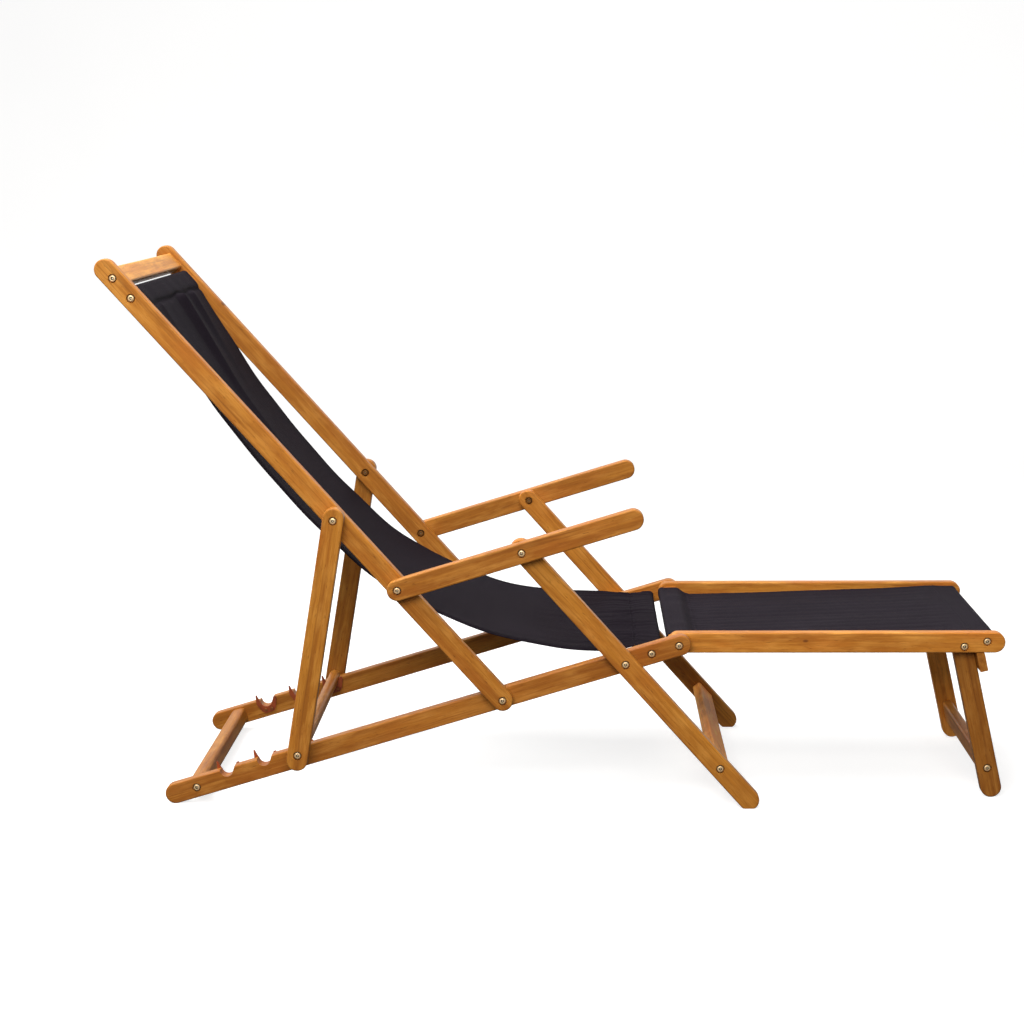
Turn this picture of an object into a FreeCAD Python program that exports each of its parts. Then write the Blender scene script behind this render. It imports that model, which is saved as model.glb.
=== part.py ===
import FreeCAD, Part
import os, math, json
from FreeCAD import Vector as V

os.makedirs("parts", exist_ok=True)

# ---------------------------------------------------------------------------
# Folding sun lounger: wooden side frames, cloth slings, footrest with legs.
# Millimetres. +Z up, +X towards the footrest, +Y to the sitter's left.
# ---------------------------------------------------------------------------

# --- side layers (distance from the middle plane) ---------------------------
HALF_WIDTH = 300.0        # outer face of the armrests
RAIL_T = 22.0             # thickness of every side rail
LAYER_GAP = 1.5           # washer gap between neighbouring rails
PITCH = RAIL_T + LAYER_GAP
OUT = {4: HALF_WIDTH, 3: HALF_WIDTH - PITCH, 2: HALF_WIDTH - 2 * PITCH,
       1: HALF_WIDTH - 3 * PITCH, 0: HALF_WIDTH - 4 * PITCH}
INN = {k: v - RAIL_T for k, v in OUT.items()}

# --- rails -------------------------------------------------------------------
RAIL_W = 38.8             # width of the long rails
RAIL_R = RAIL_W / 2.0
PROP_W = 39.5
FLEG_W = 38.8             # footrest legs
EDGE_R = 3.0              # rounded-over edges

# --- seat rail line -----------------------------------------------------------
SEAT_TILT = 16.83         # degrees, front end up
REAR_X, REAR_Z = -741.3, 18.9     # centre of the rounded rear end
S_REAR_RAIL = 43.2        # stations along the seat rail from that centre
S_NOTCH3 = 108.7
S_NOTCH2 = 183.7
S_NOTCH1 = 258.7
S_BACK_PIVOT = 655.2
S_LEG_PIVOT = 895.2
S_FRONT_SLAT = 946.6
S_HINGE = 1000.0
S_FRONT_END = 1003.0

# --- back rail line -----------------------------------------------------------
BACK_ANGLE = 48.56        # degrees from the floor, upright position
T_ARM = 288.7             # stations along the back rail from its pivot
T_PROP = 463.1
T_TOP_SLAT = 1005.7
T_TOP_RAIL = 1053.8
T_TOP_END = 1075.1

# --- front leg (parallel to the back rail, through the leg pivot) ------------
LEG_DOWN = 350.2          # pivot to the centre of the rounded foot
LEG_UP_EXTRA = 3.0
LEG_CROSS = 268.0

# --- armrest -------------------------------------------------------------------
ARM_LENGTH = 453.0        # between the centres of its rounded ends

# --- prop ------------------------------------------------------------------------
DOWEL_R = 12.0
DOWEL_DROP = 3.5          # dowel axis below the top edge of the seat rail
PROP_UP_EXTRA = 4.0
PROP_DOWN_EXTRA = 10.0
NOTCH_CLEAR = 0.45
NOTCH_FLARE = 33.0        # lean of the front wall of a notch, degrees

# --- footrest ------------------------------------------------------------------
FOOT_END_X = 805.4        # centre of the rounded front end
FOOT_SLAT_X = 790.8
FOOT_SLAT_UP = 2.0        # end slat above the footrest rail's middle line
FLEG_X = 748.8
FLEG_DROP = 8.0           # leg pivot below the footrest rail's middle line
FLEG_SPLAY = 12.8         # degrees, foot towards the front
FLEG_FOOT_Z = 18.9
FLEG_CROSS = 249.6
STOP_T = 15.0
STOP_L = 38.0
STOP_GAP = 0.4

# --- cross pieces ---------------------------------------------------------------
SLAT_W = 38.0
SLAT_T = 20.0
TOP_RAIL_W, TOP_RAIL_T = 39.0, 20.0
REAR_RAIL_W, REAR_RAIL_T = 30.0, 32.0
LEG_RAIL_W, LEG_RAIL_T = 45.0, 20.0
FRONT_SLAT_TILT = 5.0

# --- slings -----------------------------------------------------------------------
CLOTH_T = 1.6
SLIP = 0.3                # pocket to slat
SEAT_SLING_HALF = 224.0
BACK_SLING_HALF = 240.0
FOOT_SLING_HALF = 200.0   # passes over the tops of the footrest legs

# --- fasteners ---------------------------------------------------------------------
HEAD_R, HEAD_H = 6.5, 4.2
BORE_R, BORE_D = 8.3, 4.8   # counterbore for a head
PIVOT_R = 4.0
RUN = 0.08                  # running clearance of a pivot hole, on the radius
FIX_R = 3.0
NUT_R, NUT_H = 6.5, 4.5
WASHER_R, WASHER_T = 9.5, 1.3
BARREL_R, BARREL_L = 5.0, 14.0
SOCKET_AF, SOCKET_D = 5.0, 2.4


# ---------------------------------------------------------------------------
# points in the side plane
# ---------------------------------------------------------------------------
def rad(a):
    return math.radians(a)


U = (math.cos(rad(SEAT_TILT)), math.sin(rad(SEAT_TILT)))
N = (-U[1], U[0])
B_ = (-math.cos(rad(BACK_ANGLE)), math.sin(rad(BACK_ANGLE)))
NB = (B_[1], -B_[0])


def along(p, d, s, n=None, k=0.0):
    q = (p[0] + d[0] * s, p[1] + d[1] * s)
    if n is not None:
        q = (q[0] + n[0] * k, q[1] + n[1] * k)
    return q


E = (REAR_X, REAR_Z)
A = along(E, U, S_BACK_PIVOT)
BP = along(E, U, S_LEG_PIVOT)
S2 = along(E, U, S_FRONT_SLAT)
H = along(E, U, S_HINGE)
SEAT_END = along(E, U, S_FRONT_END)
REARX = along(E, U, S_REAR_RAIL)
D = along(A, B_, T_ARM)
C = along(BP, B_, T_ARM)
P = along(A, B_, T_PROP)
S1 = along(A, B_, T_TOP_SLAT)
TOPX = along(A, B_, T_TOP_RAIL)
BACK_END = along(A, B_, T_TOP_END)
LEGX = along(BP, B_, -LEG_CROSS)
LEG_FOOT = along(BP, B_, -LEG_DOWN)
LEG_TOP = along(C, B_, LEG_UP_EXTRA)
ARM_END = along(D, U, ARM_LENGTH)
N_AXIS = RAIL_R - DOWEL_DROP
N1 = along(E, U, S_NOTCH1, N, N_AXIS)
N2 = along(E, U, S_NOTCH2, N, N_AXIS)
N3 = along(E, U, S_NOTCH3, N, N_AXIS)
FL = (FLEG_X, H[1] - FLEG_DROP)
FD = (math.sin(rad(FLEG_SPLAY)), -math.cos(rad(FLEG_SPLAY)))
FN = (-FD[1], FD[0])
FLEG_LEN = (FL[1] - FLEG_FOOT_Z) / -FD[1]
FLEG_END = along(FL, FD, FLEG_LEN)
FLEGX = along(FL, FD, FLEG_CROSS)
FOOT_END = (FOOT_END_X, H[1])
FOOT_SLAT = (FOOT_SLAT_X, H[1] + FOOT_SLAT_UP)
_pl = math.hypot(N1[0] - P[0], N1[1] - P[1])
PD = ((N1[0] - P[0]) / _pl, (N1[1] - P[1]) / _pl)


# ---------------------------------------------------------------------------
# shapes
# ---------------------------------------------------------------------------
def cyl(p, y0, y1, r):
    lo, hi = min(y0, y1), max(y0, y1)
    return Part.makeCylinder(r, hi - lo, V(p[0], lo, p[1]), V(0, 1, 0))


def prism(pts, y0, y1):
    lo, hi = min(y0, y1), max(y0, y1)
    w = Part.makePolygon([V(x, lo, z) for x, z in pts] + [V(pts[0][0], lo, pts[0][1])])
    return Part.Face(w).extrude(V(0, hi - lo, 0))


def bar(p, q, w, y0, y1, r=EDGE_R):
    """A rail with two half-round ends and rounded-over edges."""
    lo, hi = min(y0, y1), max(y0, y1)
    L = math.hypot(q[0] - p[0], q[1] - p[1])
    d = ((q[0] - p[0]) / L, (q[1] - p[1]) / L)
    n = (-d[1], d[0])
    h = w / 2.0

    def pt(c, a, b):
        return V(c[0] + d[0] * a + n[0] * b, lo, c[1] + d[1] * a + n[1] * b)
    e = [Part.LineSegment(pt(p, 0, h), pt(q, 0, h)).toShape(),
         Part.Arc(pt(q, 0, h), pt(q, h, 0), pt(q, 0, -h)).toShape(),
         Part.LineSegment(pt(q, 0, -h), pt(p, 0, -h)).toShape(),
         Part.Arc(pt(p, 0, -h), pt(p, -h, 0), pt(p, 0, h)).toShape()]
    s = Part.Face(Part.Wire(e)).extrude(V(0, hi - lo, 0))
    if r > 0:
        ed = [x for x in s.Edges if abs(x.Vertexes[0].Y - x.Vertexes[-1].Y) < 1e-6]
        s = s.makeFillet(r, ed)
    return s


def rbox(c, ang, L, T, r, y0, y1):
    """A cross piece: rounded rectangle L x T, L tilted up by ang, along Y."""
    lo, hi = min(y0, y1), max(y0, y1)
    b = Part.makeBox(L, hi - lo, T, V(-L / 2.0, lo, -T / 2.0))
    ed = [x for x in b.Edges if abs(x.Vertexes[0].Y - x.Vertexes[-1].Y) > 1.0]
    b = b.makeFillet(r, ed)
    b.rotate(V(0, 0, 0), V(0, 1, 0), -ang)
    b.translate(V(c[0], 0, c[1]))
    return b


def hexcut(p, y_face, inward, depth):
    """Hexagon socket sunk from y_face in the direction inward (+1 or -1)."""
    r = SOCKET_AF / math.sqrt(3.0)
    pts = [(p[0] + r * math.cos(rad(60 * i)), p[1] + r * math.sin(rad(60 * i))) for i in range(6)]
    return prism(pts, y_face, y_face + inward * depth)


def bolt(p, side, y_face, y_tip, r):
    """Head sunk under the outer face y_face of its side, shank to y_tip."""
    top = y_face - (BORE_D - HEAD_H)
    seat = y_face - BORE_D
    head = cyl(p, side * seat, side * top, HEAD_R)
    rim = [x for x in head.Edges if abs(x.BoundBox.YMin - side * top) < 1e-6
           and abs(x.BoundBox.YMax - side * top) < 1e-6]
    head = head.makeFillet(1.2, rim)
    head = head.cut(hexcut(p, side * top, -side, SOCKET_D))
    return head.fuse(cyl(p, side * seat, side * y_tip, r)).removeSplitter()


def cap_nut(p, side, y_seat, y_end, r):
    """Round cap nut on the inner end of a pivot bolt, with its own socket."""
    n = cyl(p, side * y_seat, side * y_end, NUT_R)
    rim = [x for x in n.Edges if abs(x.BoundBox.YMin - side * y_end) < 1e-6
           and abs(x.BoundBox.YMax - side * y_end) < 1e-6]
    n = n.makeFillet(1.2, rim)
    n = n.cut(cyl(p, side * y_seat, side * (y_end + 1.6), r))
    return n.cut(hexcut(p, side * y_end, side, 1.2))


def washer(p, side, y_in, r):
    """Washer in the gap outside the inner rail face y_in."""
    w = cyl(p, side * (y_in + 0.1), side * (y_in + 0.1 + WASHER_T), WASHER_R)
    return w.cut(cyl(p, side * (y_in - 1), side * (y_in + 3), r))


def barrel(c, d, side, y):
    """Cross nut of a fixed bolt: a short cylinder lying along d."""
    a = V(c[0] - d[0] * BARREL_L / 2, side * y, c[1] - d[1] * BARREL_L / 2)
    s = Part.makeCylinder(BARREL_R, BARREL_L, a, V(d[0], 0, d[1]))
    return s.cut(cyl(c, side * (y - 9), side * (y + 9), FIX_R))


def barrel_hole(c, d, side, y):
    a = V(c[0] - d[0] * BARREL_L / 2, side * y, c[1] - d[1] * BARREL_L / 2)
    return Part.makeCylinder(BARREL_R, BARREL_L, a, V(d[0], 0, d[1]))


def group(solids):
    return Part.makeCompound(solids)


NODES = {}


def keep(name, shape):
    NODES[name] = shape


SIDES = (("left", 1), ("right", -1))


def bore_out(p, side, y_face):
    return cyl(p, side * (y_face - BORE_D), side * (y_face + 2), BORE_R)


def bore_in(p, side, y_face, depth):
    return cyl(p, side * (y_face + depth), side * (y_face - 2), BORE_R)


# ---------------------------------------------------------------------------
# notch outline: room for the dowel, front wall leaning forwards
# ---------------------------------------------------------------------------
def notch_prism(c, y0, y1, extra=0.0):
    r = DOWEL_R + NOTCH_CLEAR + extra
    f = rad(NOTCH_FLARE)
    g = (math.sin(f), math.cos(f))           # way out of the notch, along (U, N)
    tx, tn = g[1] * r, -g[0] * r             # tangent point on the front side
    up = 60.0
    pts = [(-r, 0.0), (-r - 0.06 * up, up), (tx + g[0] * (up - tn) / g[1], up), (tx, tn), (0.0, 0.0)]
    w = [along(c, U, a, N, b) for a, b in pts]
    return cyl(c, y0, y1, r).fuse(prism(w, y0, y1)).removeSplitter()


# ---------------------------------------------------------------------------
# seat frame
# ---------------------------------------------------------------------------
BACK_SEAT_NUT = 5.2        # depth of the recess for a cap nut
TIP = 34.0                 # how far a fixed bolt reaches into a cross piece
NUT_AT = 24.0              # cross nut, from the end of the cross piece

floor_cut = Part.makeBox(3000, 1200, 200, V(-1500, -600, -200))

for tag, s in SIDES:
    r = bar(E, SEAT_END, RAIL_W, s * INN[2], s * OUT[2])
    r = r.cut(floor_cut)
    for c in (N1, N2, N3):
        r = r.cut(notch_prism(c, s * (INN[2] - 2), s * (OUT[2] + 2)))
    for p in (REARX, S2):
        r = r.cut(bore_out(p, s, OUT[2])).cut(cyl(p, s * INN[2], s * OUT[2], FIX_R))
    for p in (A, BP):
        r = r.cut(cyl(p, s * (INN[2] - 1), s * (OUT[2] + 1), PIVOT_R + RUN))
        r = r.cut(bore_in(p, s, INN[2], BACK_SEAT_NUT))
    r = r.cut(cyl(H, s * (INN[2] - 1), s * (OUT[2] + 1), PIVOT_R + RUN))
    r = r.cut(bore_out(H, s, OUT[2]))
    for c in (N1, N2, N3):
        for du in (-6.5, 6.5):
            q = along(c, U, du, N, -19.0)
            r = r.cut(cyl(q, s * INN[2], s * (INN[2] + 10), 1.6))
    keep("seat_rail_" + tag, r)

CLIP_T = 4.0
clip_screws = []
for tag, s in SIDES:
    clips = []
    for c in (N1, N2, N3):
        # plate on the inner rail face; tall pointed rear horn, low front horn
        edge = DOWEL_DROP
        f = math.tan(rad(NOTCH_FLARE))
        pts = [(-22.0, edge - 3.0), (-18.5, edge + 13.5), (-16.6, edge + 13.0), (-14.4, edge + 2.0),
               (-12.0, -2.0), (0.0, -10.0), (14.0, -2.0), (16.2 + (edge + 0.6) * f * 0.2, edge + 0.8),
               (22.5, edge + 0.8), (22.5, -3.0), (15.0, -20.0), (9.0, -25.5),
               (-9.0, -25.5), (-15.0, -20.0), (-22.0, -3.0)]
        plate = prism([along(c, U, a, N, b) for a, b in pts], s * (INN[2] - CLIP_T), s * INN[2])
        plate = plate.cut(notch_prism(c, s * (INN[2] - 9), s * (INN[2] + 2)))
        for du in (-6.5, 6.5):
            q = along(c, U, du, N, -19.0)
            plate = plate.cut(cyl(q, s * (INN[2] - 9), s * (INN[2] + 2), 1.6))
            head = cyl(q, s * (INN[2] - CLIP_T), s * (INN[2] - CLIP_T - 1.6), 3.2)
            head = head.makeFillet(0.9, [x for x in head.Edges if
                                         abs(x.BoundBox.YMin - s * (INN[2] - CLIP_T - 1.6)) < 1e-6 and
                                         abs(x.BoundBox.YMax - s * (INN[2] - CLIP_T - 1.6)) < 1e-6])
            clip_screws.append(head.fuse(cyl(q, s * (INN[2] - CLIP_T), s * (INN[2] + 10), 1.6)).removeSplitter())
        clips.append(plate)
    keep("notch_clips_" + tag, group(clips))
keep("notch_clip_screws", group(clip_screws))


def cross_piece(name, c, ang, L, T, r, half, face_nuts=None):
    """Fixed cross piece between two rails, drilled for its bolts and nuts."""
    b = rbox(c, ang, L, T, r, -half, half)
    d = (math.cos(rad(ang)), math.sin(rad(ang)))
    for s in (1, -1):
        b = b.cut(cyl(c, s * (half - TIP), s * (half + 1), FIX_R))
        b = b.cut(barrel_hole(c, d, s, half - NUT_AT))
    keep(name, b)
    return [barrel(c, d, s, half - NUT_AT) for s in (1, -1)]


seat_nuts = cross_piece("rear_cross_rail", REARX, SEAT_TILT, REAR_RAIL_W, REAR_RAIL_T, 9.0, INN[2])
seat_nuts += cross_piece("seat_front_slat", S2, FRONT_SLAT_TILT, SLAT_W, SLAT_T, 6.0, INN[2])
keep("seat_frame_barrel_nuts", group(seat_nuts))
keep("seat_frame_bolts", group([bolt(p, s, OUT[2], INN[2] - TIP, FIX_R) for p in (REARX, S2) for s in (1, -1)]))

# ---------------------------------------------------------------------------
# back frame
# ---------------------------------------------------------------------------
for tag, s in SIDES:
    r = bar(A, BACK_END, RAIL_W, s * INN[3], s * OUT[3])
    for p in (TOPX, S1):
        r = r.cut(bore_out(p, s, OUT[3])).cut(cyl(p, s * INN[3], s * OUT[3], FIX_R))
    r = r.cut(bore_out(A, s, OUT[3])).cut(cyl(A, s * INN[3], s * OUT[3], PIVOT_R))
    for p in (P, D):
        r = r.cut(cyl(p, s * (INN[3] - 1), s * (OUT[3] + 1), PIVOT_R + RUN))
        r = r.cut(bore_in(p, s, INN[3], BACK_SEAT_NUT))
    keep("back_rail_" + tag, r)

back_nuts = cross_piece("top_cross_rail", TOPX, 180.0 - BACK_ANGLE, TOP_RAIL_W, TOP_RAIL_T, 5.0, INN[3])
back_nuts += cross_piece("sling_top_slat", S1, 180.0 - BACK_ANGLE, SLAT_W, SLAT_T, 6.0, INN[3])
keep("back_frame_barrel_nuts", group(back_nuts))
keep("back_frame_bolts", group([bolt(p, s, OUT[3], INN[3] - TIP, FIX_R) for p in (TOPX, S1) for s in (1, -1)]))


def pivot_set(name, pts, lay_out, lay_in):
    """Bolt, cap nut and washer of a pivot whose bolt turns with the outer rail."""
    bolts, nuts, washers = [], [], []
    for p in pts:
        for s in (1, -1):
            seat = INN[lay_in] + BACK_SEAT_NUT - 0.1
            bolts.append(bolt(p, s, OUT[lay_out], seat - NUT_H + 1.6, PIVOT_R))
            nuts.append(cap_nut(p, s, seat, seat - NUT_H, PIVOT_R))
            washers.append(washer(p, s, OUT[lay_in], PIVOT_R))
    keep(name + "_bolts", group(bolts))
    keep(name + "_nuts", group(nuts))
    keep(name + "_washers", group(washers))


pivot_set("backrest_pivot", (A,), 3, 2)

# ---------------------------------------------------------------------------
# prop
# ---------------------------------------------------------------------------
PROP_TOP = along(P, PD, -PROP_UP_EXTRA)
PROP_BOT = along(N1, PD, PROP_DOWN_EXTRA)
for tag, s in SIDES:
    r = bar(PROP_TOP, PROP_BOT, PROP_W, s * INN[4], s * OUT[4])
    r = r.cut(bore_out(P, s, OUT[4])).cut(cyl(P, s * INN[4], s * OUT[4], PIVOT_R))
    r = r.cut(bore_out(N1, s, OUT[4])).cut(cyl(N1, s * INN[4], s * OUT[4], FIX_R))
    keep("prop_leg_" + tag, r)
dowel = cyl(N1, -INN[4], INN[4], DOWEL_R)
inserts = []
INS_R, INS_L = 5.0, 30.0
for s in (1, -1):
    dowel = dowel.cut(cyl(N1, s * (INN[4] - INS_L), s * INN[4], INS_R))
    dowel = dowel.cut(cyl(N1, s * (INN[4] - TIP), s * INN[4], FIX_R))
    inserts.append(cyl(N1, s * (INN[4] - INS_L), s * INN[4], INS_R).cut(
        cyl(N1, s * (INN[4] - TIP), s * (INN[4] + 1), FIX_R)))
keep("prop_dowel", dowel)
keep("prop_dowel_inserts", group(inserts))
keep("prop_dowel_bolts", group([bolt(N1, s, OUT[4], INN[4] - TIP, FIX_R) for s in (1, -1)]))
pivot_set("prop_pivot", (P,), 4, 3)

# ---------------------------------------------------------------------------
# front legs
# ---------------------------------------------------------------------------
for tag, s in SIDES:
    r = bar(LEG_FOOT, LEG_TOP, RAIL_W, s * INN[3], s * OUT[3]).cut(floor_cut)
    r = r.cut(bore_out(LEGX, s, OUT[3])).cut(cyl(LEGX, s * INN[3], s * OUT[3], FIX_R))
    r = r.cut(bore_out(BP, s, OUT[3])).cut(cyl(BP, s * INN[3], s * OUT[3], PIVOT_R))
    r = r.cut(cyl(C, s * (INN[3] - 1), s * (OUT[3] + 1), PIVOT_R + RUN))
    r = r.cut(bore_in(C, s, INN[3], BACK_SEAT_NUT))
    keep("front_leg_" + tag, r)
leg_nuts = cross_piece("front_leg_cross_rail", LEGX, 180.0 - BACK_ANGLE, LEG_RAIL_W, LEG_RAIL_T, 5.0, INN[3])
keep("front_leg_barrel_nuts", group(leg_nuts))
keep("front_leg_bolts", group([bolt(LEGX, s, OUT[3], INN[3] - TIP, FIX_R) for s in (1, -1)]))
pivot_set("front_leg_pivot", (BP,), 3, 2)

# ---------------------------------------------------------------------------
# armrests
# ---------------------------------------------------------------------------
for tag, s in SIDES:
    r = bar(D, ARM_END, RAIL_W, s * INN[4], s * OUT[4])
    for p in (D, C):
        r = r.cut(bore_out(p, s, OUT[4])).cut(cyl(p, s * INN[4], s * OUT[4], PIVOT_R))
    keep("armrest_" + tag, r)
pivot_set("armrest_pivot", (D, C), 4, 3)

# ---------------------------------------------------------------------------
# footrest
# ---------------------------------------------------------------------------
for tag, s in SIDES:
    r = bar(H, FOOT_END, RAIL_W, s * INN[1], s * OUT[1])
    r = r.cut(cyl(H, s * INN[1], s * OUT[1], PIVOT_R))
    r = r.cut(bore_out(FOOT_SLAT, s, OUT[1])).cut(cyl(FOOT_SLAT, s * INN[1], s * OUT[1], FIX_R))
    r = r.cut(bore_out(FL, s, OUT[1])).cut(cyl(FL, s * INN[1], s * OUT[1], PIVOT_R))
    keep("footrest_rail_" + tag, r)
hinge = rbox(H, 0.0, SLAT_W, SLAT_T, 6.0, -INN[1], INN[1])
hinge_nuts = []
for s in (1, -1):
    hinge = hinge.cut(cyl(H, s * (INN[1] - TIP), s * (INN[1] + 1), PIVOT_R))
    hinge = hinge.cut(barrel_hole(H, (1.0, 0.0), s, INN[1] - NUT_AT))
    n = barrel_hole(H, (1.0, 0.0), s, INN[1] - NUT_AT)
    hinge_nuts.append(n.cut(cyl(H, s * (INN[1] - NUT_AT - 9), s * (INN[1] - NUT_AT + 9), PIVOT_R)))
keep("footrest_hinge_slat", hinge)
foot_nuts = cross_piece("footrest_end_slat", FOOT_SLAT, 0.0, SLAT_W, SLAT_T, 6.0, INN[1])
keep("footrest_barrel_nuts", group(hinge_nuts + foot_nuts))
keep("footrest_end_bolts", group([bolt(FOOT_SLAT, s, OUT[1], INN[1] - TIP, FIX_R) for s in (1, -1)]))
hinge_bolts = []
for s in (1, -1):
    b = bolt(H, s, OUT[2] - 0.1 + 0.2, INN[1] - TIP, PIVOT_R)
    hinge_bolts.append(b)
keep("footrest_hinge_bolts", group(hinge_bolts))
keep("footrest_hinge_washers", group([washer(H, s, OUT[1] - 0.1, PIVOT_R) for s in (1, -1)]))

# ---------------------------------------------------------------------------
# footrest legs
# ---------------------------------------------------------------------------
for tag, s in SIDES:
    r = bar(FL, FLEG_END, FLEG_W, s * INN[0], s * OUT[0]).cut(floor_cut)
    r = r.cut(cyl(FL, s * (INN[0] - 1), s * (OUT[0] + 1), PIVOT_R + RUN))
    r = r.cut(bore_in(FL, s, INN[0], BACK_SEAT_NUT))
    r = r.cut(bore_out(FLEGX, s, OUT[0])).cut(cyl(FLEGX, s * INN[0], s * OUT[0], FIX_R))
    keep("footrest_leg_" + tag, r)
fleg_nuts = cross_piece("footrest_leg_cross_rail", FLEGX, -90.0 + FLEG_SPLAY, LEG_RAIL_W, LEG_RAIL_T, 5.0, INN[0])
keep("footrest_leg_barrel_nuts", group(fleg_nuts))
keep("footrest_leg_bolts", group([bolt(FLEGX, s, OUT[0], INN[0] - TIP, FIX_R) for s in (1, -1)]))
pivot_set("footrest_leg_pivot", (FL,), 1, 0)

rail_under = H[1] - RAIL_R - STOP_GAP
half_w = FLEG_W / 2.0


def on_leg(a, k):
    return along(FL, FD, a, FN, k)


a_in = (FL[1] + FN[1] * half_w - rail_under) / -FD[1]
a_out = (FL[1] + FN[1] * (half_w + STOP_T) - rail_under) / -FD[1]
stop_pts = [on_leg(a_in, half_w), on_leg(a_out, half_w + STOP_T),
            on_leg(a_in + STOP_L, half_w + STOP_T), on_leg(a_in + STOP_L, half_w)]
stop = prism(stop_pts, -OUT[1], OUT[1])
stop = stop.makeFillet(2.0, [x for x in stop.Edges if abs(x.Vertexes[0].Y - x.Vertexes[-1].Y) > 1.0])
stop_screws = []
leg_l = NODES["footrest_leg_left"]
leg_r = NODES["footrest_leg_right"]
for s in (1, -1):
    for k in (14.0, 28.0):
        ym = s * (INN[0] + OUT[0]) / 2.0
        q = on_leg(a_in + k, half_w + STOP_T)
        face = V(q[0], ym, q[1])
        back = V(-FN[0], 0, -FN[1])
        head = Part.makeCylinder(3.2, 1.6, face + back * 0.2, back)
        shank = Part.makeCylinder(1.8, 30.0, face + back * 0.2, back)
        sc = head.fuse(shank).removeSplitter()
        stop_screws.append(sc)
        void = Part.makeCylinder(3.2, 3.0, face + back * 1.8, back * -1.0).fuse(
            Part.makeCylinder(1.8, 30.0, face + back * 0.2, back))
        stop = stop.cut(void)
        if s > 0:
            leg_l = leg_l.cut(void)
        else:
            leg_r = leg_r.cut(void)
keep("footrest_leg_left", leg_l)
keep("footrest_leg_right", leg_r)
keep("leg_stop_slat", stop)
keep("stop_slat_screws", group(stop_screws))


# ---------------------------------------------------------------------------
# slings: thin sheets with a sewn pocket round each slat
# ---------------------------------------------------------------------------
def sheet(pts, t, half):
    n = len(pts)
    up, dn = [], []
    for i in range(n):
        a = pts[max(i - 1, 0)]
        b = pts[min(i + 1, n - 1)]
        L = math.hypot(b[0] - a[0], b[1] - a[1])
        nx, nz = -(b[1] - a[1]) / L, (b[0] - a[0]) / L
        up.append((pts[i][0] + nx * t / 2, pts[i][1] + nz * t / 2))
        dn.append((pts[i][0] - nx * t / 2, pts[i][1] - nz * t / 2))
    return prism(up + dn[::-1], -half, half)


def pocket(c, ang, half):
    o = rbox(c, ang, SLAT_W + 2 * (SLIP + CLOTH_T), SLAT_T + 2 * (SLIP + CLOTH_T), 6.0 + SLIP + CLOTH_T, -half, half)
    i = rbox(c, ang, SLAT_W + 2 * SLIP, SLAT_T + 2 * SLIP, 6.0 + SLIP, -half - 1, half + 1)
    return o.cut(i)


WALL = SLAT_T / 2.0 + SLIP + CLOTH_T / 2.0     # middle of the pocket's face
SPLIT_A = (-409.0, 487.8)
SPLIT_B = (-412.5, 491.4)
# hang of the back: distance down from the top slat, distance behind the rails' middle line
HANG = [(8.0, -WALL), (20.0, -WALL), (41.0, -7.6), (111.0, 5.6), (160.0, 14.6), (243.0, 28.6), (295.0, 33.2),
        (363.0, 38.4), (425.0, 41.6), (479.0, 42.6), (525.0, 40.6), (560.0, 38.4)]
back_pts = [along(S1, B_, -a, NB, -b) for a, b in HANG] + [SPLIT_B]
seat_d = (math.cos(rad(FRONT_SLAT_TILT)), math.sin(rad(FRONT_SLAT_TILT)))
seat_n = (-seat_d[1], seat_d[0])
seat_pts = [SPLIT_A, (-371.0, 451.0), (-345.0, 430.5), (-310.0, 408.0), (-275.0, 390.0), (-240.0, 373.3),
            (-206.0, 356.6), (-173.0, 341.6), (-140.0, 330.0), (-106.0, 321.2), (-72.5, 314.2), (-39.0, 309.0),
            (-5.0, 305.2), (28.0, 303.0), (62.0, 302.3), (104.0, 302.6),
            along(S2, seat_d, -18.0, seat_n, WALL), along(S2, seat_d, -6.0, seat_n, WALL)]
keep("sling_back", sheet(back_pts, CLOTH_T, BACK_SLING_HALF).fuse(
    pocket(S1, 180.0 - BACK_ANGLE, BACK_SLING_HALF)).removeSplitter())
keep("sling_seat", sheet(seat_pts, CLOTH_T, SEAT_SLING_HALF).fuse(
    pocket(S2, FRONT_SLAT_TILT, SEAT_SLING_HALF)).removeSplitter())
# the footrest sling leaves its hinge pocket low, rises to the end slat and clears the tops of the legs
foot_pts = [(H[0] + SLAT_W / 2.0 + SLIP + CLOTH_T / 2.0, H[1] - 2.0), (H[0] + 44.0, H[1] - 3.4), (H[0] + 110.0, H[1] - 1.6),
            (FLEG_X - 93.0, H[1] + 7.6), (FLEG_X - 41.0, H[1] + 10.8), (FLEG_X, H[1] + 13.4),
            (FOOT_SLAT_X - 18.0, FOOT_SLAT[1] + WALL), (FOOT_SLAT_X - 6.0, FOOT_SLAT[1] + WALL)]
keep("footrest_sling", sheet(foot_pts, CLOTH_T, FOOT_SLING_HALF).fuse(
    pocket(H, 0.0, FOOT_SLING_HALF)).fuse(pocket(FOOT_SLAT, 0.0, FOOT_SLING_HALF)).removeSplitter())

# ---------------------------------------------------------------------------
# centre the part on its own box and write the pieces
# ---------------------------------------------------------------------------
X_MIN = BACK_END[0] - RAIL_R          # rounded top end of the back rails
X_MAX = FLEG_END[0] + FLEG_W / 2.0    # rounded feet of the footrest legs
SHIFT_X = -(X_MIN + X_MAX) / 2.0
SHIFT_Z = 0.0                         # the feet are already cut flat at z = 0
for name, shp in NODES.items():
    shp.translate(V(SHIFT_X, 0, SHIFT_Z))
    if not shp.isValid():
        print("INVALID", name)
    shp.exportStep("parts/%s.step" % name)

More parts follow.
